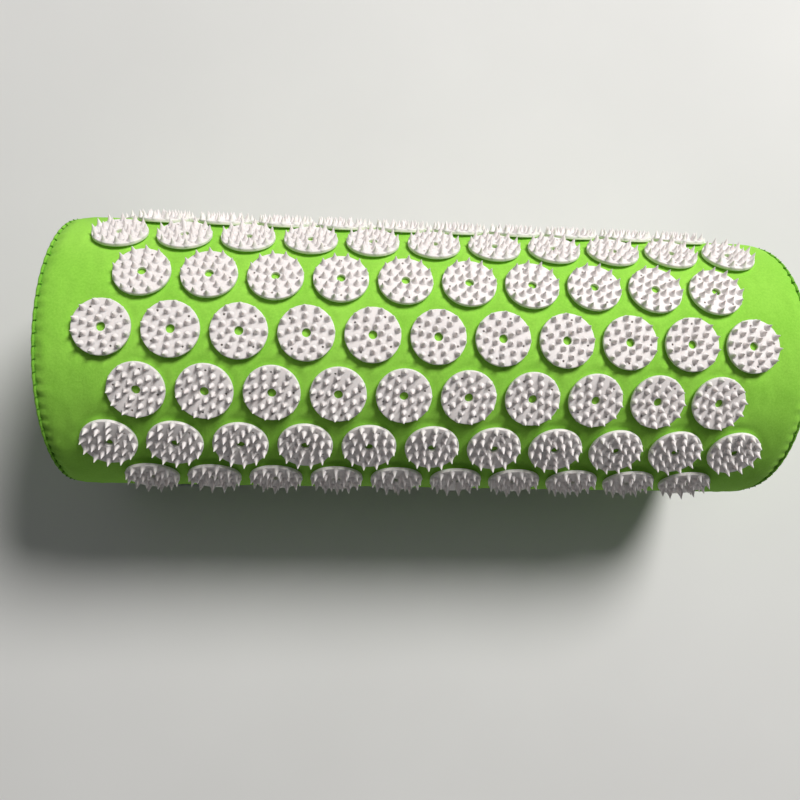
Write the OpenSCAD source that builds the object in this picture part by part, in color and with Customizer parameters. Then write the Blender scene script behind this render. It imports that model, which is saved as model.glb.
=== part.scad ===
// Foot massage roller: a round foam bolster in a zipped cotton cover, studded with rows of
// round plastic spike discs. X runs along the roller, Z is up, and the underside row of
// spikes stands on Z = 0.

/* [Roller] */
// Outer radius of the cotton cover
cover_r = 75; // [60:1:90]
// Length over the two flat end panels
roller_l = 394; // [388:1:440]
// Thickness of the cover cloth
cloth_t = 1; // [0.6:0.1:1.4]
// Outer radius of the rounded shoulder at each end
shoulder_r = 8; // [6:0.5:10]
// Thickness of the lining sleeve round the foam
lining_t = 0.6; // [0.4:0.1:1]
// Outer radius of the lining sleeve
lining_r = 71.7; // [56:0.1:86.7]

/* [Spike discs] */
// Distance between discs along a row
disc_pitch = 32.5; // [31:0.5:33]
// Radius of a disc's plate
disc_r = 14; // [13.5:0.1:14.5]
// Thickness of a disc's plate
plate_t = 2; // [1.6:0.1:2.4]
// Radius of a disc's centre hole
eye_r = 2.2; // [1:0.1:2.5]
// Height of a spike above the plate
spike_h = 4; // [3:0.1:6]
// Radius of a spike's base
spike_r = 1.6; // [1:0.1:1.6]
// Angle from one row to the next round the roller
row_step = 22.5; // [20:0.5:24]

/* [Backing rings] */
// Outer radius of the ring behind each disc
ring_r = 12.5; // [12:0.1:12.8]
// Inner radius of that ring
ring_bore_r = 6; // [3:0.5:9]
// Thickness of that ring
ring_t = 1; // [0.8:0.1:1]
// Height of the ring's outer face above the roller's axis
ring_top = 72.85; // [72:0.01:72.9]
// Radius of a ring's pin
pin_r = 0.55; // [0.3:0.01:0.6]
// How far a pin reaches into its disc
pin_seat = 0.5; // [0.3:0.1:1.5]
// Clearance between a pin and its hole
pin_gap = 0.05; // [0.01:0.01:0.1]
// Distance of the pins from the middle of the disc
pin_place_r = 10.65; // [10:0.05:11]

/* [Zip] */
// Direction of the zip round the roller, from the top towards the front
zip_angle = 101.25; // [95:0.25:108]
// Length of the opening in the cover
zip_l = 326; // [250:1:340]
// Width of the opening in the cover
zip_w = 10; // [9.6:0.1:12]
// Width of the closed chain of teeth
chain_w = 6; // [5.6:0.1:6.4]
// Gap between the two rows of teeth
chain_gap = 1.2; // [1.2:0.1:1.6]
// Distance between teeth
tooth_pitch = 2.5; // [2:0.1:4]
// Width of each tape
tape_w = 11; // [9:0.5:12]
// Length of the slider
slider_l = 11; // [9:0.5:13]
// Width of the slider
slider_w = 9; // [8.6:0.1:9.2]
// Length of the pull tab
tab_l = 26; // [15:1:40]

/* [Place] */
// Distance the axis sits in front of the frame's origin, which is under the middle
axis_front = 0.75; // [0:0.01:2]

/* [Hidden] */
$fn = 96;
ROWS = 14;
TOP_ROW = 4;
spike_rings = [[12, 12.2], [9, 8.4], [6, 4.5]];
sink = 0.2;
through = 10;
axis_z = cover_r + plate_t + spike_h;
straight_x = roller_l / 2 - shoulder_r;
shoulder_z = cover_r - shoulder_r;
inner_shoulder_r = shoulder_r - cloth_t;
lining_corner_r = 5;
foam_corner_r = lining_corner_r - lining_t;
lining_x = roller_l / 2 - cloth_t;
seam_bead_r = 1;
seam_lift = 0.5;
tape_t = 0.6;
tape_l = zip_l + 10;
tape_top = cover_r - cloth_t;
chain_l = zip_l - 10;
chain_low = cover_r - 1.9;
chain_high = cover_r - 0.3;
stop_l = 3;
stop_high = cover_r + 0.2;
slider_top_z = cover_r - 0.05;
slider_plate_t = 0.9;
slider_base_z = cover_r - 3;
slider_base_t = 0.75;
slider_corner_r = 1.6;
slider_post_w = 0.7;
slider_post_l = 3;
slider_post_inset = 0.5;
slider_lip_w = 1;
slider_lip_h = 0.7;
slider_play = 0.3;
slider_x = slider_l / 2 + slider_play - chain_l / 2;
lug_w = 0.9;
lug_r = 1.2;
lug_gap = 3.2;
hinge_z = cover_r + 2.2;
hinge_r = 0.6;
hinge_play = 0.05;
tab_w = 5;
tab_t = 1.1;
tab_eye_r = 1.25;
tab_neck_w = lug_gap - 0.8;
tab_neck_l = 5.5;
tab_hole_d = 2.4;
grey = "#b8babc";
green = "#8fd24f";
white = "#ece5e3";

// Two-digit name of a row
function row_name(row) = row < 10 ? str("0", row) : str(row);

// Direction of a row round the roller: row 1 is just above the zip, and row 4 is on top
function row_angle(row) = (TOP_ROW - row) * row_step;

// Odd rows hold 10 discs and even rows 11, so that the rows are staggered by half a pitch
function row_count(row) = row % 2 == 0 ? 11 : 10;

function disc_x(row, i) = (i - (row_count(row) - 1) / 2) * disc_pitch;

// Each disc is fixed at its own turn, as they come from the press
function disc_turn(row, i) = (97 * i + 41 * row) % 360;

// A point on a rounded corner with its centre at (x, z)
function corner_point(x, z, r, angle) = [z + r * cos(angle), x + r * sin(angle)];

// The rounded corner's points from one angle to another, 0 being radially out
function corner(x, z, r, from, to, steps = 12) =
    [for (i = [0:steps]) corner_point(x, z, r, from + (to - from) * i / steps)];

// Turns an outline of [radius, x] points about the roller's axis
module turned() {
    translate([0, -axis_front, axis_z]) rotate([0, 90, 0]) rotate_extrude($fn = 180) children();
}

// Places what is drawn upright at the direction that a point round the roller faces
module around(angle, x = 0) {
    translate([0, -axis_front, axis_z]) rotate([angle, 0, 0]) translate([x, 0, 0]) children();
}

// A solid of revolution with the same rounded corner at both ends
module capsule(x, r, corner_r) {
    rim = corner(x - corner_r, r - corner_r, corner_r, 0, 90);
    turned() polygon(concat([[0, -x]], [for (i = [len(rim) - 1:-1:0]) [rim[i][0], -rim[i][1]]],
        rim, [[0, x]]));
}

// Foam and lining

module foam_core() {
    color("#e9e3cf") capsule(lining_x - lining_t, lining_r - lining_t, foam_corner_r);
}

module inner_lining() {
    color("#f2f2ee") difference() {
        capsule(lining_x, lining_r, lining_corner_r);
        capsule(lining_x - lining_t, lining_r - lining_t, foam_corner_r);
    }
}

// Cotton cover

module cover_tube() {
    outer = corner(straight_x, shoulder_z, shoulder_r, 0, 45);
    inner = corner(straight_x, shoulder_z, inner_shoulder_r, 45, 0);
    half = concat(outer, inner);
    color(green) difference() {
        turned() polygon(concat(half, [for (i = [len(half) - 1:-1:0]) [half[i][0], -half[i][1]]]));
        around(zip_angle) zip_opening();
    }
}

module zip_opening() {
    x = (zip_l - zip_w) / 2;
    translate([0, 0, cover_r - through / 2]) {
        translate([-x, -zip_w / 2, 0]) cube([2 * x, zip_w, through]);
        for (side = [-1, 1]) translate([side * x, 0, 0]) cylinder(d = zip_w, h = through);
    }
}

module end_panel(side) {
    flat_x = roller_l / 2;
    outline = concat(
        corner(straight_x, shoulder_z, shoulder_r, 45, 90),
        [[0, flat_x], [0, flat_x - cloth_t]],
        corner(straight_x, shoulder_z, inner_shoulder_r, 90, 45)
    );
    color(green) turned() polygon([for (p = outline) [p[0], side * p[1]]]);
}

// Bound edge that joins the tube to an end panel
module end_seam(side) {
    at = corner_point(straight_x, shoulder_z, shoulder_r + seam_lift, 45);
    color("#6fb83a") turned() translate([at[0], side * at[1]]) circle(seam_bead_r, $fn = 32);
}

// Zip

module zip_tape(side) {
    y = side > 0 ? chain_w / 2 : -chain_w / 2 - tape_w;
    color("#7cc043") intersection() {
        translate([0, -axis_front, axis_z]) rotate([0, 90, 0]) difference() {
            cylinder(r = tape_top, h = tape_l, center = true);
            cylinder(r = tape_top - tape_t, h = tape_l + 2, center = true);
        }
        around(zip_angle) translate([-tape_l, y, cover_r - through])
            cube([2 * tape_l, tape_w, 2 * through]);
    }
}

// One row of teeth on its spine, drawn as a comb
module zip_teeth(side) {
    teeth = floor(chain_l / tooth_pitch);
    start = -teeth * tooth_pitch / 2;
    root = chain_gap / 2 + 1;
    tip = chain_gap / 2;
    edge = chain_w / 2;
    comb = [for (i = [0:teeth - 1]) let (x = start + i * tooth_pitch) each [
        [x + 0.25 * tooth_pitch, root], [x + 0.25 * tooth_pitch, tip],
        [x + 0.75 * tooth_pitch, tip], [x + 0.75 * tooth_pitch, root]
    ]];
    outline = concat([[-chain_l / 2, edge], [-chain_l / 2, root]], comb,
        [[chain_l / 2, root], [chain_l / 2, edge]]);
    color("#8ccb52") around(zip_angle) translate([0, 0, chain_low])
        linear_extrude(chain_high - chain_low) polygon([for (p = outline) [p[0], side * p[1]]]);
}

// Two clips on the tapes at the closed end
module zip_top_stops() {
    color(grey) around(zip_angle) for (side = [-1, 1]) {
        translate([-chain_l / 2 - stop_l, side > 0 ? chain_gap / 2 : -chain_w / 2, chain_low])
            cube([stop_l, (chain_w - chain_gap) / 2, stop_high - chain_low]);
    }
}

// One clip across both tapes at the open end
module zip_bottom_stop() {
    color(grey) around(zip_angle) translate([chain_l / 2, -chain_w / 2, chain_low])
        cube([stop_l, chain_w, stop_high - chain_low]);
}

module zip_slider() {
    color(grey) around(zip_angle, slider_x) {
        slider_plate(slider_top_z, slider_plate_t);
        slider_plate(slider_base_z, slider_base_t);
        translate([slider_post_inset - slider_l / 2, -slider_post_w / 2, slider_base_z])
            cube([slider_post_l, slider_post_w, slider_top_z - slider_base_z + sink]);
        for (side = [-1, 1]) {
            slider_lip(side);
            lug(side);
        }
        hinge_pin(hinge_r, lug_gap + 2 * lug_w);
    }
}

// Flat plate with rounded corners
module slider_plate(z, t) {
    x = slider_l / 2 - slider_corner_r;
    y = slider_w / 2 - slider_corner_r;
    translate([0, 0, z]) linear_extrude(t) hull() for (end = [-1, 1]) for (side = [-1, 1])
        translate([end * x, side * y]) circle(slider_corner_r, $fn = 32);
}

// Rim under the top plate that keeps the teeth in
module slider_lip(side) {
    l = slider_l - 2 * slider_corner_r;
    translate([-l / 2, side * (slider_w - slider_lip_w) / 2 - slider_lip_w / 2,
        slider_top_z - slider_lip_h]) cube([l, slider_lip_w, slider_lip_h + sink]);
}

// Ear that carries one end of the pull tab's pin
module lug(side) {
    foot = slider_top_z + slider_plate_t - sink;
    y = side * (lug_gap + lug_w) / 2;
    translate([0, y, 0]) {
        translate([-lug_r, -lug_w / 2, foot]) cube([2 * lug_r, lug_w, hinge_z - foot]);
        translate([0, 0, hinge_z]) rotate([90, 0, 0])
            cylinder(r = lug_r, h = lug_w, center = true);
    }
}

module hinge_pin(r, l) {
    translate([0, 0, hinge_z]) rotate([90, 0, 0]) cylinder(r = r, h = l, center = true);
}

// Flat tab with an eye round the slider's pin and a finger hole at its free end
module zip_pull_tab() {
    far = tab_l - tab_w / 2;
    color(grey) around(zip_angle, slider_x) difference() {
        union() {
            hinge_pin(tab_eye_r, tab_neck_w);
            translate([0, -tab_neck_w / 2, hinge_z - tab_t / 2])
                cube([tab_neck_l, tab_neck_w, tab_t]);
            translate([0, 0, hinge_z - tab_t / 2]) linear_extrude(tab_t) hull() {
                translate([tab_neck_l - 0.5, -tab_neck_w / 2]) square([1, tab_neck_w]);
                for (x = [tab_neck_l + tab_w / 2, far]) translate([x, 0])
                    circle(tab_w / 2, $fn = 48);
            }
        }
        hinge_pin(hinge_r + hinge_play, tab_neck_w + 2);
        translate([far, 0, hinge_z]) cylinder(d = tab_hole_d, h = through, center = true);
    }
}

// Spike discs and what holds them

module spike_disc() {
    edge_r = 0.5;
    profile = [
        [eye_r, 0], [disc_r - edge_r, 0],
        for (a = [-90:30:90]) [disc_r - edge_r + edge_r * cos(a), plate_t / 2
            + sign(a) * (plate_t / 2 - edge_r) + edge_r * sin(a)],
        [eye_r, plate_t]
    ];
    difference() {
        union() {
            rotate_extrude($fn = 64) polygon(profile);
            for (ring = spike_rings) for (i = [0:ring[0] - 1])
                rotate(360 * i / ring[0]) translate([ring[1], 0, plate_t - sink])
                    cylinder(r1 = spike_r, r2 = 0, h = spike_h + sink, $fn = 24);
        }
        pins(pin_r + pin_gap, -1, plate_t + 1);
    }
}

// The four pins, or the holes for them, from one height to another
module pins(r, from, to) {
    for (i = [0:3]) rotate(45 + 90 * i) translate([pin_place_r, 0, from])
        cylinder(r = r, h = to - from, $fn = 24);
}

module spike_discs(row) {
    color(white) around(row_angle(row)) for (i = [0:row_count(row) - 1])
        translate([disc_x(row, i), 0, cover_r]) rotate(disc_turn(row, i)) spike_disc();
}

module backing_ring() {
    difference() {
        translate([0, 0, -ring_t]) cylinder(r = ring_r, h = ring_t, $fn = 64);
        translate([0, 0, -ring_t - 1]) cylinder(r = ring_bore_r, h = ring_t + 2, $fn = 48);
    }
    pins(pin_r, -sink, cover_r + pin_seat - ring_top);
}

module backing_rings(row) {
    color("#e8e8e4") around(row_angle(row)) for (i = [0:row_count(row) - 1])
        translate([disc_x(row, i), 0, ring_top]) rotate(disc_turn(row, i)) backing_ring();
}

foam_core();
inner_lining();
cover_tube();
end_panel(-1);  // end_panel_left
end_panel(1);  // end_panel_right
end_seam(-1);  // end_seam_left
end_seam(1);  // end_seam_right
zip_tape(-1);  // zip_tape_upper
zip_tape(1);  // zip_tape_lower
zip_teeth(-1);  // zip_teeth_upper
zip_teeth(1);  // zip_teeth_lower
zip_top_stops();
zip_bottom_stop();
zip_slider();
zip_pull_tab();
for (row = [1:ROWS]) {
    spike_discs(row);
    backing_rings(row);
}
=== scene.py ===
"""Looks of the foot massage roller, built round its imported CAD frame. Lengths are in metres."""

import math

import bpy
import numpy as np
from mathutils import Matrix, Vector


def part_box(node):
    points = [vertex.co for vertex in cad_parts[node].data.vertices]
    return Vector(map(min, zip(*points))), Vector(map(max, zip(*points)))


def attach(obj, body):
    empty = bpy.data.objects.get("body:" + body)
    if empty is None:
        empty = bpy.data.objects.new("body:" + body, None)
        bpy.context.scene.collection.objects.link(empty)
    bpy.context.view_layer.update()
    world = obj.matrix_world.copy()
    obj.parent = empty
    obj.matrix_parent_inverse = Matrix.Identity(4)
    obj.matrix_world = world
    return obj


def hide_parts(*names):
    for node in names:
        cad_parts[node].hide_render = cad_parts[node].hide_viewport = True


MM = 0.001

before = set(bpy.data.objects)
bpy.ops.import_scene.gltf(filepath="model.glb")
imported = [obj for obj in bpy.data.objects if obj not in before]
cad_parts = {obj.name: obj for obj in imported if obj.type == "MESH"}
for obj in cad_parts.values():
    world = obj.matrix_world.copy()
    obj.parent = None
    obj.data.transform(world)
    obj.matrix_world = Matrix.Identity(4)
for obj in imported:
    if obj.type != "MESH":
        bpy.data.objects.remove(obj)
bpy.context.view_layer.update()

# ---------------------------------------------------------------- sizes, read from the frame

panel_low, panel_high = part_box("end_panel_right")
tube_low, tube_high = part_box("cover_tube")
AXIS_Y = (panel_low[1] + panel_high[1]) / 2
AXIS_Z = (panel_low[2] + panel_high[2]) / 2
COVER_R = (tube_high[2] - tube_low[2]) / 2
HALF_LENGTH = panel_high[0]

# ---------------------------------------------------------------- sizes, repeated from the CAD

SHOULDER_R = 8 * MM
STRAIGHT_X = HALF_LENGTH - SHOULDER_R

# Discs. Only the spikes differ from the CAD: the outer ones lean, and the two outer rings stand
# a little further out
ROWS = 14
TOP_ROW = 4
ROW_STEP = math.radians(22.5)
PITCH = 32.5 * MM
DISC_R = 14 * MM
PLATE_T = 2 * MM
EYE_R = 2.2 * MM
SPIKE_H = 4 * MM
# For each ring: how many spikes, how far out and how far they lean outwards
SPIKE_RINGS = ((12, 12.35 * MM, math.radians(10)), (9, 8.6 * MM, 0.0), (6, 4.5 * MM, 0.0))
PIN_COUNT = 4
PIN_PLACE_R = 10.65 * MM
PIN_HOLE_R = 0.6 * MM

# Zip
ZIP_ANGLE = math.radians(101.25)
ZIP_HALF_L = 163 * MM
CHAIN_HALF_L = 158 * MM

# ---------------------------------------------------------------- camera and light

# The camera looks almost straight down, from a little to the left and the front
CAMERA_PLACE = (-0.0476, -0.0694, 0.5166)
CAMERA_TURN = (5.76, -4.69, 0.89)
CAMERA_LENS = 33.4
SENSOR_WIDTH = 36

FLOOR_HALF = 3.0
SKY_TINT = (0.95, 0.97, 1.0, 1.0)
SKY_STRENGTH = 0.07
WARM = (1.0, 0.985, 0.96)
WHITE = (1.0, 1.0, 1.0)

# ---------------------------------------------------------------- places on the roller


def row_angle(row):
    """Direction of a row round the roller, from the top towards the front."""
    return (TOP_ROW - row) * ROW_STEP


def row_count(row):
    """Odd rows have one disc fewer, which staggers them by half a pitch."""
    return 11 if row % 2 == 0 else 10


def disc_x(row, i):
    """Place of a disc's middle along the roller."""
    return (i - (row_count(row) - 1) / 2) * PITCH


def disc_turn(row, i):
    """Turn of a disc about its own middle, unlike its neighbours'."""
    return math.radians((97 * i + 41 * row) % 360)


def all_discs():
    """Row and number in the row of every disc."""
    return [(row, i) for row in range(1, ROWS + 1) for i in range(row_count(row))]


def round_angles(steps):
    """Equal steps of a full turn, from 0."""
    return 2 * np.pi * np.arange(steps) / steps


def wrapped(angle):
    """The same direction as an angle from -pi to pi."""
    return (angle + np.pi) % (2 * np.pi) - np.pi


def on_roller(x, angle, radius):
    """Points at these places along, round and out from the roller's axis."""
    return np.stack(
        [x + 0 * angle, AXIS_Y - radius * np.sin(angle), AXIS_Z + radius * np.cos(angle)], -1
    )


def angle_round(points):
    """Direction of points round the roller, from the top towards the front."""
    return np.arctan2(AXIS_Y - points[:, 1], points[:, 2] - AXIS_Z)


def on_shoulder(angle, lift=0.0):
    """Place along the roller and radius on its rounded right shoulder, an angle from its start."""
    reach = SHOULDER_R + lift
    return STRAIGHT_X + reach * math.sin(angle), COVER_R - SHOULDER_R + reach * math.cos(angle)


def turned(points, turn):
    """Points turned about Z."""
    c, s = math.cos(turn), math.sin(turn)
    x, y, z = points.T
    return np.stack([x * c - y * s, x * s + y * c, z], -1)


def placed(points, x, angle, turn=0.0):
    """Upright points, moved to face the direction angle at x, after a turn about their own axis."""
    px, py, pz = turned(points, turn).T
    c, s = math.cos(angle), math.sin(angle)
    return np.stack([x + px, AXIS_Y + py * c - pz * s, AXIS_Z + py * s + pz * c], -1)


# ---------------------------------------------------------------- mesh helpers


def make_piece(name, points, faces, material, sharp_angle=40):
    """A mesh object from numpy points and face lists, shaded smooth except over sharp edges."""
    mesh = bpy.data.meshes.new(name)
    mesh.from_pydata([tuple(p) for p in points], [], faces)
    mesh.update()
    mesh.shade_smooth()
    mesh.set_sharp_from_angle(angle=math.radians(sharp_angle))
    mesh.materials.append(material)
    piece = bpy.data.objects.new(name, mesh)
    bpy.context.scene.collection.objects.link(piece)
    return piece


def vertex_places(mesh):
    """A mesh's vertices as an array of points."""
    places = np.empty(len(mesh.vertices) * 3, np.float32)
    mesh.vertices.foreach_get("co", places)
    return places.reshape(-1, 3)


def move_vertices(mesh, places):
    mesh.vertices.foreach_set("co", places.astype(np.float32).ravel())
    mesh.update()


def corner_vertices(mesh):
    """The number of the vertex at each face corner."""
    corner = np.empty(len(mesh.loops), np.int32)
    mesh.loops.foreach_get("vertex_index", corner)
    return corner


def apply_all(piece):
    """Turns the piece's modifiers into its own mesh."""
    graph = bpy.context.evaluated_depsgraph_get()
    finished = bpy.data.meshes.new_from_object(piece.evaluated_get(graph))
    piece.modifiers.clear()
    piece.data = finished


def belongs(piece, body, slot, *nodes):
    """Puts a finished piece on its body and hides the CAD nodes it stands for. slot, its finish, is not
    used.
    """
    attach(piece, body)
    if nodes:
        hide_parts(*nodes)


def grid_faces(rows, columns, around=False, across=False, keep=None):
    """Quads of a grid whose point (r, c) has the number r * columns + c.

    around joins the last row to the first, and across joins the last column to the first.
    """
    faces = []
    for r in range(rows if around else rows - 1):
        start, after = r * columns, (r + 1) % rows * columns
        for c in range(columns if across else columns - 1):
            d = (c + 1) % columns
            if keep is None or keep(r, c):
                faces.append((start + c, start + d, after + d, after + c))
    return faces


def flipped(faces):
    """The same faces, turned to look the other way."""
    return [tuple(reversed(face)) for face in faces]


def tube_mesh(path, radius, sides):
    """Points and faces of a round tube along a path. Its sections are square to the path."""
    path = np.asarray(path)
    ahead = np.gradient(path, axis=0)
    ahead /= np.linalg.norm(ahead, axis=1)[:, None]
    # Only a direction that none of the paths takes
    aside = np.array([0.31, 0.77, 0.56])
    across = np.cross(ahead, aside)
    across /= np.linalg.norm(across, axis=1)[:, None]
    other = np.cross(ahead, across)
    turn = round_angles(sides)[None, :, None]
    ring = across[:, None] * np.cos(turn) + other[:, None] * np.sin(turn)
    points = (path[:, None] + radius * ring).reshape(-1, 3)
    faces = grid_faces(len(path), sides, across=True)
    last = (len(path) - 1) * sides
    faces.append(tuple(range(sides - 1, -1, -1)))
    faces.append(tuple(last + j for j in range(sides)))
    return points, faces


def joined(parts):
    """One list of points and one of faces from several pairs of them."""
    points, faces, start = [], [], 0
    for p, f in parts:
        points.append(p)
        faces += [tuple(i + start for i in face) for face in f]
        start += len(p)
    return np.concatenate(points), faces


def ripples(a, b, scale, seed, waves=14):
    """A smooth random field over two coordinates, about -1 to 1, made of sines."""
    random = np.random.RandomState(seed)
    total = np.zeros_like(a)
    for _ in range(waves):
        direction = random.uniform(0, 2 * np.pi)
        length = scale * random.uniform(0.6, 1.7)
        phase = random.uniform(0, 2 * np.pi)
        total += np.sin(2 * np.pi * (a * math.cos(direction) + b * math.sin(direction)) / length + phase)
    return total / math.sqrt(waves)


def bell(distance, width):
    """1 at distance 0, fading to nothing over a few widths."""
    return np.exp(-((distance / width) ** 2))


def rise(value, start, length):
    """0 up to start, 1 from length past it, and even between."""
    return np.clip((value - start) / length, 0, 1)


# ---------------------------------------------------------------- materials


class Nodes:
    """A short way to write a material's node tree."""

    def __init__(self, name):
        self.material = bpy.data.materials.new(name)
        self.material.use_nodes = True
        self.tree = self.material.node_tree
        self.shader = self.tree.nodes["Principled BSDF"]
        self.coordinates = None

    def add(self, kind, settings=None, **inputs):
        """A new node. Its inputs are named, with _ for a space, or numbered as i0 and i1."""
        node = self.tree.nodes.new("ShaderNode" + kind)
        for key, value in (settings or {}).items():
            setattr(node, key, value)
        for key, value in inputs.items():
            numbered = key in ("i0", "i1")
            self.join(node, int(key[1:]) if numbered else key.replace("_", " "), value)
        return node

    def join(self, node, key, value):
        """Links an input, given by name or number, to a socket, or sets it to a value."""
        socket = node.inputs[key]
        if isinstance(value, bpy.types.NodeSocket):
            self.tree.links.new(value, socket)
        else:
            socket.default_value = value

    def set(self, **inputs):
        """Links or sets the shader's own inputs."""
        for key, value in inputs.items():
            self.join(self.shader, key.replace("_", " "), value)

    def places(self):
        if self.coordinates is None:
            self.coordinates = self.add("TexCoord")
        return self.coordinates.outputs["Object"]

    def noise(self, scale, detail):
        node = self.add("TexNoise", Vector=self.places(), Scale=scale, Detail=detail)
        return node.outputs["Fac"]

    def math(self, operation, a, b=0.0):
        return self.add("Math", {"operation": operation}, i0=a, i1=b).outputs[0]

    def wave(self, value, per_metre):
        """A sine over a length, per_metre being how far its angle turns in one metre."""
        return self.math("SINE", self.math("MULTIPLY", value, per_metre))

    def plus(self, a, b, share):
        """a and a share of b."""
        return self.math("ADD", a, self.math("MULTIPLY", b, share))

    def ramp(self, value, low, high):
        """0 where the value is low or less, 1 where it is high or more, and even between."""
        return self.add("MapRange", i0=value, From_Min=low, From_Max=high).outputs[0]

    def mix(self, share, a, b):
        """From colour a to colour b. A Mix node's colours are its inputs 6 and 7 and output 2."""
        node = self.add("Mix", {"data_type": "RGBA"}, Factor=share)
        self.join(node, 6, a)
        self.join(node, 7, b)
        return node.outputs[2]

    def bump(self, height, distance, strength):
        node = self.add("Bump", Height=height, Distance=distance, Strength=strength)
        self.tree.links.new(node.outputs[0], self.shader.inputs["Normal"])


def colour(r, g, b):
    return (r, g, b, 1.0)


def cotton(name, light, dark, thread=0.5 * MM, mapped=True):
    """Plain-weave cotton: two sets of threads with slubs, soft sheen and slight fading.

    mapped says that the piece has a flat cloth map. Without it the weave follows the room's axes.
    """
    n = Nodes(name)
    place = n.add("UVMap", {"uv_map": "cloth"}).outputs[0] if mapped else n.places()
    axes = n.add("SeparateXYZ", i0=place).outputs
    weft_axis = axes[1] if mapped else n.math("ADD", axes[1], axes[2])
    per_metre = 2 * math.pi / thread
    weave = n.math("MULTIPLY", n.wave(axes[0], per_metre), n.wave(weft_axis, per_metre))
    slubs = n.noise(scale=900, detail=2)
    fading = n.noise(scale=28, detail=3)
    threads = n.plus(n.math("MULTIPLY", slubs, 0.75), weave, 0.16)
    tone = n.plus(threads, n.math("SUBTRACT", fading, 0.5), 0.9)
    n.set(Base_Color=n.mix(n.ramp(tone, 0.05, 0.7), dark, light))
    n.set(Roughness=n.ramp(slubs, -2.2, 1.0))
    n.set(Sheen_Weight=0.04, Sheen_Roughness=0.5, Specular_IOR_Level=0.06)
    height = n.plus(n.math("MULTIPLY", slubs, 1.6), weave, 0.5)
    n.bump(height, distance=0.1 * MM, strength=0.8)
    return n.material


def moulded_plastic(name, base, shade, gloss, spread):
    """Injection-moulded plastic: satin with faint flow marks and uneven gloss.

    More gloss makes it a little less rough. spread is the share of light that goes below the surface.
    """
    n = Nodes(name)
    flow = n.noise(scale=70, detail=4)
    grain = n.noise(scale=1500, detail=2)
    n.set(Base_Color=n.mix(n.ramp(flow, 0.3, 0.75), base, shade))
    n.set(Roughness=n.ramp(n.plus(flow, grain, 0.4), gloss - 2.1, 2.6))
    n.set(Subsurface_Weight=spread, Subsurface_Scale=1.5 * MM, Subsurface_Radius=(1.0, 0.9, 0.85))
    n.set(Specular_IOR_Level=0.5)
    n.bump(n.plus(flow, grain, 0.3), distance=0.05 * MM, strength=0.5)
    return n.material


def plated_metal(name):
    """Nickel-plated die casting: fine scratches and dull patches."""
    n = Nodes(name)
    dull = n.noise(scale=260, detail=4)
    scratches = n.noise(scale=2400, detail=2)
    n.set(Base_Color=n.mix(n.ramp(dull, 0.35, 0.7), colour(0.62, 0.62, 0.63), colour(0.45, 0.45, 0.46)))
    n.set(Metallic=1.0, Roughness=n.ramp(n.math("ADD", dull, scratches), -0.4, 3.2))
    n.bump(scratches, distance=0.02 * MM, strength=0.5)
    return n.material


def woven_tape(name):
    """Zip tape: fine slanted ribs."""
    n = Nodes(name)
    axes = n.add("SeparateXYZ", i0=n.places()).outputs
    ribs = n.wave(n.math("SUBTRACT", axes[2], axes[0]), per_metre=9000)
    fuzz = n.noise(scale=1200, detail=3)
    tone = n.plus(fuzz, ribs, 0.2)
    n.set(Base_Color=n.mix(n.ramp(tone, 0.2, 0.9), colour(0.12, 0.36, 0.04), colour(0.22, 0.54, 0.08)))
    n.set(Roughness=n.ramp(fuzz, -2.0, 1.2), Sheen_Weight=0.2)
    n.bump(n.math("ADD", ribs, fuzz), distance=0.08 * MM, strength=0.6)
    return n.material


def open_foam(name):
    """Open-cell foam: small pores."""
    n = Nodes(name)
    cells = n.add("TexVoronoi", Scale=700.0, Vector=n.places()).outputs["Distance"]
    mottle = n.noise(scale=40, detail=4)
    tone = n.plus(mottle, cells, 0.5)
    n.set(Base_Color=n.mix(n.ramp(tone, 0.3, 1.0), colour(0.62, 0.55, 0.38), colour(0.86, 0.8, 0.64)))
    n.set(Roughness=n.ramp(cells, -3.0, 0.8))
    n.bump(cells, distance=0.5 * MM, strength=0.8)
    return n.material


def non_woven(name):
    """Spun-bonded lining: matted, slightly cloudy fibres."""
    n = Nodes(name)
    fibres = n.noise(scale=1400, detail=6)
    cloudy = n.noise(scale=60, detail=3)
    n.set(Base_Color=n.mix(n.ramp(cloudy, 0.3, 0.7), colour(0.8, 0.8, 0.77), colour(0.9, 0.9, 0.88)))
    n.set(Roughness=n.ramp(fibres, -3.0, 0.9))
    n.bump(fibres, distance=0.1 * MM, strength=0.7)
    return n.material


def floor_paint(name):
    """Matt pale paint, very slightly cloudy."""
    n = Nodes(name)
    cloudy = n.noise(scale=6, detail=3)
    n.set(Base_Color=n.mix(n.ramp(cloudy, 0.3, 0.7), colour(0.70, 0.70, 0.69), colour(0.73, 0.73, 0.72)))
    n.set(Roughness=0.8, Specular_IOR_Level=0.2)
    return n.material


COVER = cotton("cover_cotton", colour(0.35, 0.72, 0.09), colour(0.25, 0.60, 0.055))
SEAM = cotton("seam_cotton", colour(0.27, 0.60, 0.07), colour(0.16, 0.42, 0.035), mapped=False)
THREAD = cotton(
    "sewing_thread", colour(0.14, 0.36, 0.03), colour(0.08, 0.24, 0.02), thread=0.2 * MM, mapped=False
)
SPIKES = moulded_plastic(
    "spike_plastic", colour(0.85, 0.80, 0.79), colour(0.80, 0.75, 0.74), gloss=0.3, spread=0.3
)
BACKING = moulded_plastic(
    "backing_plastic", colour(0.42, 0.42, 0.40), colour(0.36, 0.36, 0.34), gloss=0.5, spread=0.1
)
METAL = plated_metal("zip_metal")
TAPE = woven_tape("zip_tape")
NYLON = moulded_plastic(
    "zip_nylon", colour(0.22, 0.52, 0.07), colour(0.17, 0.44, 0.05), gloss=0.3, spread=0.0
)
FOAM = open_foam("foam")
LINING = non_woven("lining")

# ---------------------------------------------------------------- cotton cover

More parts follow.
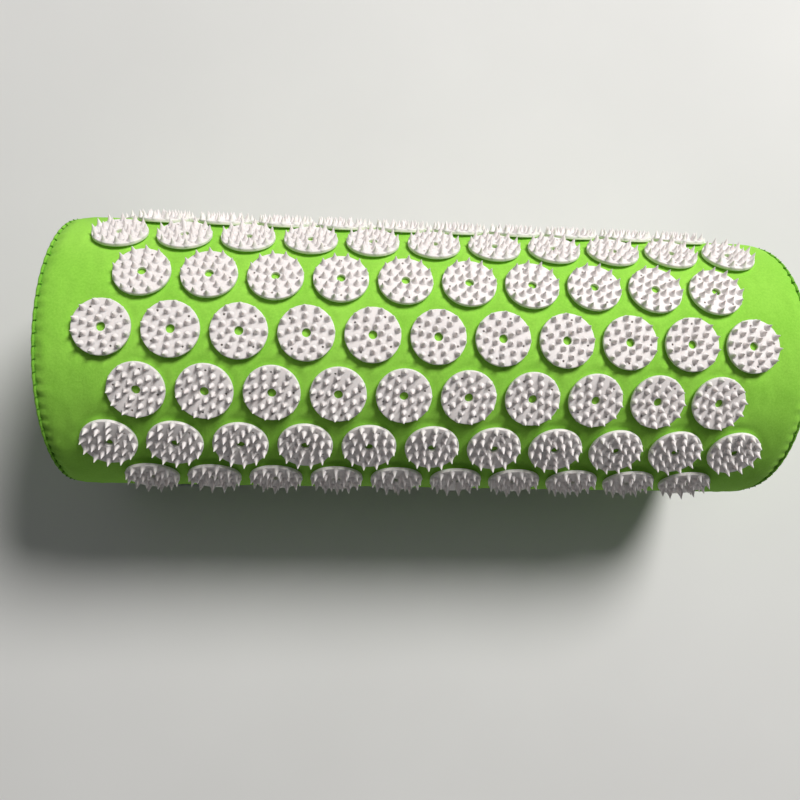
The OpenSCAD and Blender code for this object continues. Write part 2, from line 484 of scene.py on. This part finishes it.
# The grid's step divides the disc pitch and the row step, so that discs sit on grid points
CLOTH_STEP_X = PITCH / 10
CLOTH_STEPS_ROUND = 144
ROUND_STEP = 2 * np.pi / CLOTH_STEPS_ROUND
ZIP_GAP_STEPS = 3
CLOTH_T = 0.9 * MM
# The cloth lies this far below the cover's round. Under a disc it is flat out to FLAT_REACH, and
# the pressure can't move it out to HELD_REACH
DISC_SINK = 0.12 * MM
FLAT_REACH = 12.8 * MM
HELD_REACH = 15.5 * MM
# Cloth that is further round than this from a disc's middle, in radians, is never under it
DISC_SIDE = 0.5

# Small shapes of the cloth: how deep they are, and how long or wide
FOLD_HEIGHT = 0.22 * MM
WIDE_FOLD = 26 * MM
NARROW_FOLD = 11 * MM
RIM_DIP = 0.75 * MM
RIM_DIP_W = 2.2 * MM
TUBE_GATHER = 0.25 * MM
PANEL_GATHER = 0.45 * MM
GATHER_L = 7 * MM
PUCKER = 0.75 * MM
PUCKER_W = 1.2 * MM

# The end seams, at this angle of the shoulder from where it starts. The tube's cloth ends there
SEAM_ANGLE = math.radians(45)
SHOULDER_STOPS = np.radians([8, 20, 32.5, 45])
SEAM_STITCHES = 74
STITCH_PITCH = 2 * np.pi * COVER_R / SEAM_STITCHES


def tube_profile():
    """Places along the cover's tube, from seam to seam, as x and radius."""
    count = int(STRAIGHT_X / CLOTH_STEP_X)
    middle = [(j * CLOTH_STEP_X, COVER_R) for j in range(-count, count + 1)]
    right = [on_shoulder(angle) for angle in SHOULDER_STOPS]
    left = [(-x, r) for x, r in reversed(right)]
    return np.array(left + middle + right)


def cover_grid():
    """The tube's grid, one row for each step round it, as x, angle and radius."""
    profile = tube_profile()
    x = np.tile(profile[:, 0], (CLOTH_STEPS_ROUND, 1))
    radius = np.tile(profile[:, 1], (CLOTH_STEPS_ROUND, 1))
    angle = np.repeat(round_angles(CLOTH_STEPS_ROUND)[:, None], len(profile), 1)
    return x, angle, radius


def seat_discs(x, angle, radius):
    """Presses the cloth flat under each disc and holds it to just past the rim."""
    held = np.zeros(x.shape, bool)
    for row, i in all_discs():
        away = wrapped(angle - row_angle(row))
        this_side = np.abs(away) < DISC_SIDE
        across = COVER_R * np.tan(np.clip(away, -DISC_SIDE, DISC_SIDE))
        distance = np.hypot(x - disc_x(row, i), across)
        pressed = (distance < FLAT_REACH) & this_side
        radius = np.where(pressed, (COVER_R - DISC_SINK) / np.cos(away), radius)
        held |= (distance < HELD_REACH) & this_side
    return radius, held


def zip_edges():
    """The grid's rows on the two edges of the zip's opening."""
    low = int(round(ZIP_ANGLE / ROUND_STEP - ZIP_GAP_STEPS / 2))
    return low, low + ZIP_GAP_STEPS


def puff(piece, held, pressure, cap, frames=20):
    """Fills the cloth with pressure while its held points stay, then keeps the shape.

    No point moves further than cap.
    """
    scene = bpy.context.scene
    rest = vertex_places(piece.data)
    group = piece.vertex_groups.new(name="held")
    group.add([int(i) for i in np.flatnonzero(held)], 1.0, "REPLACE")
    cloth = piece.modifiers.new("Cloth", "CLOTH")
    settings = cloth.settings
    settings.vertex_group_mass = group.name
    settings.quality = 6
    settings.mass = 0.2
    settings.tension_stiffness = settings.compression_stiffness = 12
    settings.shear_stiffness = 4
    settings.bending_stiffness = 0.3
    settings.use_pressure = True
    settings.uniform_pressure_force = pressure
    settings.effector_weights.gravity = 0
    cloth.collision_settings.use_collision = False
    cloth.point_cache.frame_end = frames
    for number in range(1, frames + 1):
        scene.frame_set(number)
    swollen = piece.evaluated_get(bpy.context.evaluated_depsgraph_get())
    moved = vertex_places(swollen.to_mesh())
    swollen.to_mesh_clear()
    piece.modifiers.remove(cloth)
    piece.vertex_groups.remove(group)
    scene.frame_set(1)
    step = moved - rest
    size = np.linalg.norm(step, axis=1)
    step *= (np.tanh(size / cap) * cap / np.maximum(size, 1e-9))[:, None]
    move_vertices(piece.data, rest + step)


def disc_distance(x, angle):
    """Distance along the cloth from each place to the nearest disc's middle."""
    nearest = np.full(len(x), np.inf)
    for row, i in all_discs():
        across = COVER_R * wrapped(angle - row_angle(row))
        nearest = np.minimum(nearest, np.hypot(x - disc_x(row, i), across))
    return nearest


def wrinkle(piece):
    """Moves the cloth along its normals: small folds between the discs and a dip round each one,
    then uneven gathers and a pucker at each stitch beside the end seams."""
    mesh = piece.data
    points = vertex_places(mesh).astype(float)
    normals = np.empty(points.size, np.float32)
    mesh.vertex_normals.foreach_get("vector", normals)
    angle = angle_round(points)
    x, arc = points[:, 0], angle * COVER_R

    away = disc_distance(x, angle)
    wide = ripples(x, arc * 0.7, WIDE_FOLD, seed=3)
    narrow = ripples(x * 1.3, arc, NARROW_FOLD, seed=8)
    folds = FOLD_HEIGHT * rise(away, DISC_R * 0.96, 4 * MM) * (0.55 * wide + 0.45 * narrow)
    dip = RIM_DIP * bell(away - DISC_R - 0.5 * MM, RIM_DIP_W)

    near_seam = rise(np.abs(x), STRAIGHT_X - 6 * MM, 10 * MM)
    uneven = np.clip(ripples(arc, 0 * arc, GATHER_L, seed=12), -1, 1)
    gathers = TUBE_GATHER * uneven * near_seam**2
    beside_seam = rise(np.abs(x), STRAIGHT_X - 0.5 * MM, 3.5 * MM)
    from_stitch = (angle / (2 * np.pi) * SEAM_STITCHES % 1 - 0.5) * STITCH_PITCH
    puckers = PUCKER * bell(from_stitch, PUCKER_W) * beside_seam

    shift = folds - dip - gathers - puckers
    move_vertices(mesh, points + normals.reshape(-1, 3) * shift[:, None])


def thicken(piece):
    """Gives a surface of cloth its thickness, inwards."""
    thick = piece.modifiers.new("Thickness", "SOLIDIFY")
    thick.thickness = CLOTH_T
    thick.offset = -1
    apply_all(piece)


def map_cloth(mesh, flat):
    """Stores the cloth's flat places, in metres, one for each face corner."""
    layer = mesh.uv_layers.new(name="cloth")
    layer.data.foreach_set("uv", flat.astype(np.float32).ravel())


def map_tube(mesh):
    """Lays the tube's cloth out flat: along the roller and round it."""
    points = vertex_places(mesh)
    corner = corner_vertices(mesh)
    angle = angle_round(points)[corner]
    first = np.empty(len(mesh.polygons), np.int32)
    mesh.polygons.foreach_get("loop_start", first)
    sizes = np.empty(len(mesh.polygons), np.int32)
    mesh.polygons.foreach_get("loop_total", sizes)
    # Each face's corners stay together where the angle jumps by a full turn
    start = np.repeat(angle[first], sizes)
    arc = (start + wrapped(angle - start)) * COVER_R
    map_cloth(mesh, np.stack([points[corner, 0], arc], -1))


def cover_tube():
    """The tube of cloth: seated under the discs, open at the zip, puffed, smoothed and wrinkled."""
    x, angle, radius = cover_grid()
    radius, held = seat_discs(x, angle, radius - DISC_SINK)
    low, high = zip_edges()
    inside = np.abs(x[0]) < ZIP_HALF_L + 0.1 * MM
    held[low, inside] = held[high, inside] = True
    held[:, :2] = held[:, -2:] = True
    faces = grid_faces(
        *x.shape, around=True,
        keep=lambda r, c: not (low <= r < high and inside[c] and inside[c + 1]),
    )
    points = on_roller(x, angle, radius).reshape(-1, 3)
    piece = make_piece("cover_tube_cloth", points, flipped(faces), COVER)
    puff(piece, held.ravel(), pressure=250, cap=0.9 * MM)
    smooth = piece.modifiers.new("Smooth", "SUBSURF")
    smooth.levels = smooth.render_levels = 1
    apply_all(piece)
    wrinkle(piece)
    thicken(piece)
    map_tube(piece.data)
    piece.data.shade_smooth()
    belongs(piece, "roller", "cover_cotton", "cover_tube")


def end_panel(side, name):
    """A round of cloth, gathered into its seam and filled out a little by the foam."""
    steps, rings = 288, 34
    middle_r = 0.4 * MM
    crown_height, dent_height, dent_l = 1.2 * MM, 0.3 * MM, 34 * MM
    seam_x, seam_r = on_shoulder(SEAM_ANGLE)
    # The power makes the rings a little narrower towards the middle
    share = (np.linspace(0, 1, rings) ** 0.8)[None, :]
    radius = seam_r * (1 - share) + middle_r * share
    angle = np.repeat(round_angles(steps)[:, None], rings, 1)
    inward = seam_r - radius
    arc = angle * seam_r

    shoulder = (HALF_LENGTH - seam_x) * rise(inward, 0, 6 * MM) ** 0.5
    crown = crown_height * np.sin(np.pi / 2 * rise(inward, 0, seam_r))
    near_seam = np.exp(-inward / GATHER_L) * rise(inward, 0, 1 * MM)
    gathers = PANEL_GATHER * ripples(arc, 0 * arc, GATHER_L, seed=21 + side) * near_seam
    uneven = ripples(radius * np.cos(angle), radius * np.sin(angle), dent_l, seed=30 + side)
    dents = dent_height * uneven * rise(inward, 0, 12 * MM)
    x = side * (seam_x + shoulder + crown + gathers + dents)

    points = on_roller(x, angle, radius).reshape(-1, 3)
    faces = grid_faces(steps, rings, around=True)
    faces.append(tuple(r * rings + rings - 1 for r in range(steps)))
    if side > 0:
        faces = flipped(faces)
    piece = make_piece(name + "_cloth", points, faces, COVER, sharp_angle=80)
    map_cloth(piece.data, points[corner_vertices(piece.data), 1:])
    thicken(piece)
    belongs(piece, "roller", "cover_cotton", name)


def end_seam(side, name):
    """The overlocked edge that joins tube and end: a pinched ridge with thread over it."""
    lift, ridge_r, pinch_depth = 0.25 * MM, 0.85 * MM, 0.25 * MM
    seam_x, seam_r = on_shoulder(SEAM_ANGLE, lift)
    steps, sides = 6 * SEAM_STITCHES, 10
    angle = np.repeat(round_angles(steps)[:, None], sides, 1)
    turn = np.repeat(round_angles(sides)[None, :], steps, 0)
    pinch = 0.9 + 0.1 * np.cos(angle * SEAM_STITCHES)
    ridge = ridge_r * pinch
    radius = seam_r + ridge * np.cos(turn) - pinch_depth * (1 - pinch)
    x = side * (seam_x + ridge * np.sin(turn))
    points = on_roller(x, angle, radius).reshape(-1, 3)
    faces = grid_faces(steps, sides, around=True, across=True)
    edge = make_piece(name + "_edge", points, faces, SEAM, sharp_angle=80)
    belongs(edge, "roller", "seam_binding", name)

    stitches = [
        seam_stitch(side, 2 * np.pi * (i + 0.5) / SEAM_STITCHES, seam_x, seam_r)
        for i in range(SEAM_STITCHES)
    ]
    thread = make_piece(name + "_thread", *joined(stitches), THREAD, sharp_angle=80)
    belongs(thread, "roller", "seam_binding")


def seam_stitch(side, at, seam_x, seam_r):
    """One slanted loop of thread over the seam's ridge, at an angle round the roller."""
    steps = 9
    slant = 0.008 * np.linspace(-1, 1, steps)
    turn = np.linspace(-0.55 * np.pi, 0.3 * np.pi, steps) + np.pi / 5
    reach = 1.02 * MM
    x = side * (seam_x - reach * np.cos(turn))
    path = on_roller(x, at + slant, seam_r + reach * np.sin(turn))
    return tube_mesh(path, radius=0.28 * MM, sides=6)


# ---------------------------------------------------------------- spike discs


def lathe(outline, steps):
    """A solid of revolution about Z from a closed outline of (radius, height)."""
    radius, height = np.array(outline).T
    turn = round_angles(steps)[:, None]
    points = np.stack([
        radius * np.cos(turn),
        radius * np.sin(turn),
        np.tile(height, (steps, 1)),
    ], -1).reshape(-1, 3)
    n = len(outline)
    faces = []
    for s in range(steps):
        for j in range(n):
            a, b, k = s * n, (s + 1) % steps * n, (j + 1) % n
            faces.append((a + j, b + j, b + k, a + k))
    return points, faces


def arc_points(r, z, radius, start, end, steps):
    """An arc of a lathe's outline about (r, z), from start to end in degrees."""
    return [
        (r + radius * math.cos(a), z + radius * math.sin(a))
        for a in np.radians(np.linspace(start, end, steps))
    ]


def plate_mesh():
    """The disc's plate with a rounded rim, a softened eye and its pin holes."""
    edge, lip, chamfer = 0.5 * MM, 0.25 * MM, 0.2 * MM
    outline = [(EYE_R, chamfer), (EYE_R + chamfer, 0)]
    outline += arc_points(DISC_R - edge, edge, edge, -90, 0, 4)
    outline += arc_points(DISC_R - edge, PLATE_T - edge, edge, 0, 90, 5)
    outline += [(DISC_R * 0.6, PLATE_T)]
    outline += arc_points(EYE_R + lip, PLATE_T - lip, lip, 90, 180, 4)
    plate = make_piece("plate_blank", *lathe(outline, 64), SPIKES)
    for i in range(PIN_COUNT):
        angle = 2 * math.pi * (i + 0.5) / PIN_COUNT
        bpy.ops.mesh.primitive_cylinder_add(
            vertices=14, radius=PIN_HOLE_R, depth=4 * PLATE_T,
            location=(PIN_PLACE_R * math.cos(angle), PIN_PLACE_R * math.sin(angle), 0),
        )
        drill = bpy.context.object
        cut = plate.modifiers.new("Drill", "BOOLEAN")
        cut.object = drill
        cut.operation = "DIFFERENCE"
        cut.solver = "EXACT"
        apply_all(plate)
        bpy.data.objects.remove(drill)
    points = vertex_places(plate.data).astype(float)
    faces = [tuple(p.vertices) for p in plate.data.polygons]
    bpy.data.objects.remove(plate)
    return points, faces


def spike_mesh(place_r, angle, lean):
    """One sharp spike whose foot flares into the plate."""
    foot_r, tip_r, sides = 1.45 * MM, 0.08 * MM, 12
    flare, flare_fade = 0.4 * MM, 10
    # How far up the spike its rings of points are. The first is inside the plate
    shares = (-0.15, 0.0, 0.05, 0.13, 0.27, 0.5, 0.78, 0.95)
    turn = round_angles(sides)
    rings = []
    for share in shares:
        above = max(share, 0)
        radius = foot_r + (tip_r - foot_r) * above + flare * math.exp(-above * flare_fade)
        height = np.full(sides, PLATE_T + share * SPIKE_H)
        rings.append(np.stack([radius * np.cos(turn), radius * np.sin(turn), height], -1))
    tip = np.array([[0, 0, PLATE_T + SPIKE_H]])
    points = np.concatenate(rings + [tip])
    faces = grid_faces(len(shares), sides, across=True)
    last = (len(shares) - 1) * sides
    faces += [(last + c, last + (c + 1) % sides, len(points) - 1) for c in range(sides)]
    points[:, 0] += place_r + math.tan(lean) * np.maximum(points[:, 2] - PLATE_T, 0)
    return turned(points, angle), faces


def disc_mesh():
    """A whole disc at the origin, its spikes pointing up."""
    spikes = [
        spike_mesh(place_r, 2 * math.pi * i / count, lean)
        for count, place_r, lean in SPIKE_RINGS for i in range(count)
    ]
    return joined([plate_mesh()] + spikes)


def spike_discs():
    """One piece for each row, its discs standing on the cover."""
    points, faces = disc_mesh()
    points += np.array([0, 0, COVER_R])
    for row in range(1, ROWS + 1):
        discs = [
            (placed(points, disc_x(row, i), row_angle(row), disc_turn(row, i)), faces)
            for i in range(row_count(row))
        ]
        name = f"spike_discs_row_{row:02d}"
        piece = make_piece(name + "_moulded", *joined(discs), SPIKES, sharp_angle=50)
        belongs(piece, "roller", "spike_plastic", name)


# ---------------------------------------------------------------- zip


def zip_coil(side, name):
    """One side of the zip's nylon coil: a flattened helix along the tape's edge."""
    turns, steps_per_turn = 210, 10
    wire_r = 0.27 * MM
    half_w, half_h = 1.2 * MM, 0.8 * MM
    from_middle, below_cover = 1.8 * MM, 1.1 * MM
    share = np.linspace(0, 1, turns * steps_per_turn)
    swing = 2 * np.pi * turns * share
    x = -CHAIN_HALF_L + wire_r + (2 * CHAIN_HALF_L - 2 * wire_r) * share
    across = side * (from_middle + (half_w - wire_r) * np.cos(swing))
    up = COVER_R - below_cover + (half_h - wire_r) * np.sin(swing)
    path = placed(np.stack([x, across, up], -1), 0.0, ZIP_ANGLE)
    coil_name = name.replace("teeth", "coil")
    coil = make_piece(coil_name, *tube_mesh(path, wire_r, sides=6), NYLON, sharp_angle=80)
    belongs(coil, "roller", "zip_nylon", name)


def zip_stitching():
    """A row of stitches in the cover beside each edge of the zip's opening."""
    pitch, stitch_l = 3.2 * MM, 2.3 * MM
    thread_r = 0.2 * MM
    from_middle = 8.2 * MM
    height = COVER_R + np.array([-0.35, 0.1, 0.18, 0.1, -0.35]) * MM
    along = np.linspace(-stitch_l / 2, stitch_l / 2, len(height))
    count = int(2 * ZIP_HALF_L / pitch)
    stitches = []
    for side in (-1, 1):
        angle = np.full(len(height), ZIP_ANGLE + side * from_middle / COVER_R)
        for i in range(count):
            x = (i - (count - 1) / 2) * pitch + along
            stitches.append(tube_mesh(on_roller(x, angle, height), thread_r, sides=6))
    stitching = make_piece("zip_stitching", *joined(stitches), THREAD, sharp_angle=80)
    belongs(stitching, "roller", "seam_binding")


# ---------------------------------------------------------------- CAD nodes that stay


def keep_nodes(material, *names):
    """CAD nodes whose shape is right, which only get their material."""
    for name in names:
        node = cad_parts[name]
        node.data.materials.clear()
        node.data.materials.append(material)


# ---------------------------------------------------------------- room


def make_camera():
    data = bpy.data.cameras.new("camera")
    data.lens = CAMERA_LENS
    data.sensor_width = SENSOR_WIDTH
    camera = bpy.data.objects.new("camera", data)
    camera.location = CAMERA_PLACE
    camera.rotation_euler = [math.radians(a) for a in CAMERA_TURN]
    bpy.context.scene.collection.objects.link(camera)
    bpy.context.scene.camera = camera


def make_light(name, place, size, power, tint):
    """A round area light that faces the middle of the roller."""
    data = bpy.data.lights.new(name, "AREA")
    data.shape = "DISK"
    data.size = size
    data.energy = power
    data.color = tint
    light = bpy.data.objects.new(name, data)
    light.location = place
    aim = Vector((0, 0, AXIS_Z)) - Vector(place)
    light.rotation_euler = aim.to_track_quat("-Z", "Y").to_euler()
    bpy.context.scene.collection.objects.link(light)


def make_room():
    """A pale floor, a soft key light from behind on the right, and weak light from all round."""
    corners = np.array([(-1, -1, 0), (1, -1, 0), (1, 1, 0), (-1, 1, 0)]) * FLOOR_HALF
    floor = make_piece("floor", corners, [(0, 1, 2, 3)], floor_paint("floor"))
    world = bpy.data.worlds.new("world")
    world.use_nodes = True
    sky = world.node_tree.nodes["Background"]
    sky.inputs["Color"].default_value = SKY_TINT
    sky.inputs["Strength"].default_value = SKY_STRENGTH
    bpy.context.scene.world = world
    make_light("key", place=(1.0, 1.25, 2.0), size=0.95, power=70, tint=WARM)
    make_light("soft_top", place=(-0.3, 0.3, 1.5), size=1.0, power=1.5, tint=WHITE)
    bpy.context.scene.view_settings.view_transform = "Standard"


# ---------------------------------------------------------------- making

make_camera()
make_room()
cover_tube()
end_panel(-1, "end_panel_left")
end_panel(1, "end_panel_right")
end_seam(-1, "end_seam_left")
end_seam(1, "end_seam_right")
spike_discs()
zip_coil(-1, "zip_teeth_upper")
zip_coil(1, "zip_teeth_lower")
zip_stitching()
keep_nodes(TAPE, "zip_tape_upper", "zip_tape_lower")
keep_nodes(METAL, "zip_top_stops", "zip_bottom_stop", "zip_slider", "zip_pull_tab")
keep_nodes(FOAM, "foam_core")
keep_nodes(LINING, "inner_lining")
keep_nodes(BACKING, *[f"backing_rings_row_{row:02d}" for row in range(1, ROWS + 1)])
